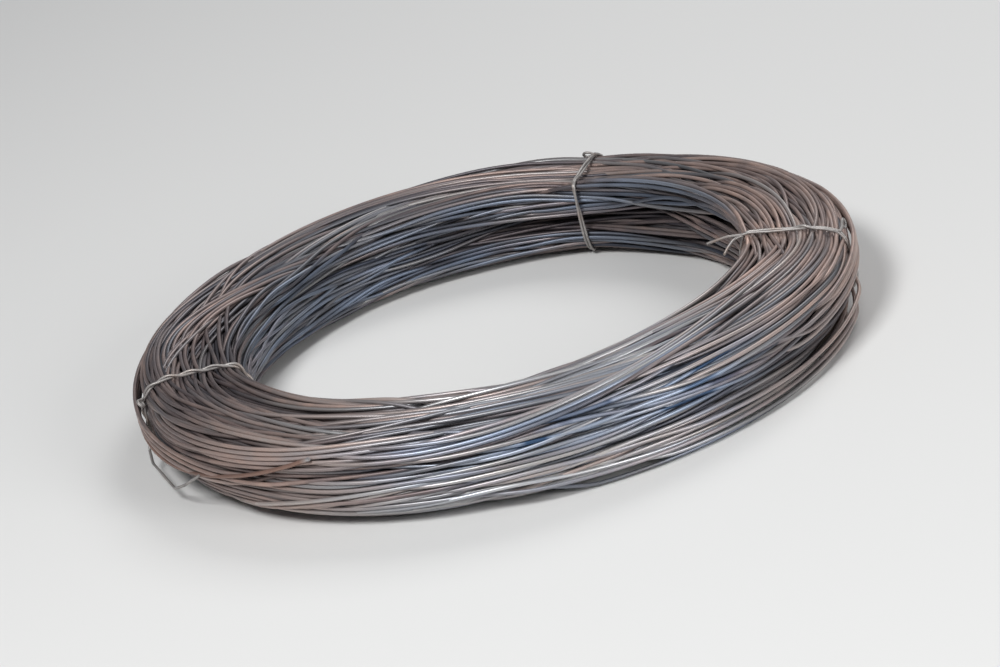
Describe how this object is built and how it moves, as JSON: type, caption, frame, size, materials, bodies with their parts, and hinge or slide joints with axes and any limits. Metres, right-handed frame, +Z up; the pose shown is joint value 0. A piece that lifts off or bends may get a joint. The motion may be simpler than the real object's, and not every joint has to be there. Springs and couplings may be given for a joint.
{
  "type": "coil of annealed wire",
  "caption": "Flat round coil of dark annealed steel wire with an open bore, grooved by its turns on both ends and held by doubled wire ties with twisted knots.",
  "frame": {"origin": "on the floor, at the foot of the coil's axis", "axes": "+Z up along the bore, -Y towards the front, +X to the right"},
  "size_m": [0.56, 0.56, 0.07],
  "materials": {
    "annealed_wire": "black annealed steel wire, dull oxide scale with blue patches, rubbed steel lights and thin brown rust",
    "tie_wire": "thin annealed binding wire, dull and brown with rust"
  },
  "bodies": {
    "root": {"wire_coil": "annealed_wire", "tie_left": "tie_wire", "tie_right": "tie_wire", "tie_back": "tie_wire"}
  },
  "joints": []
}
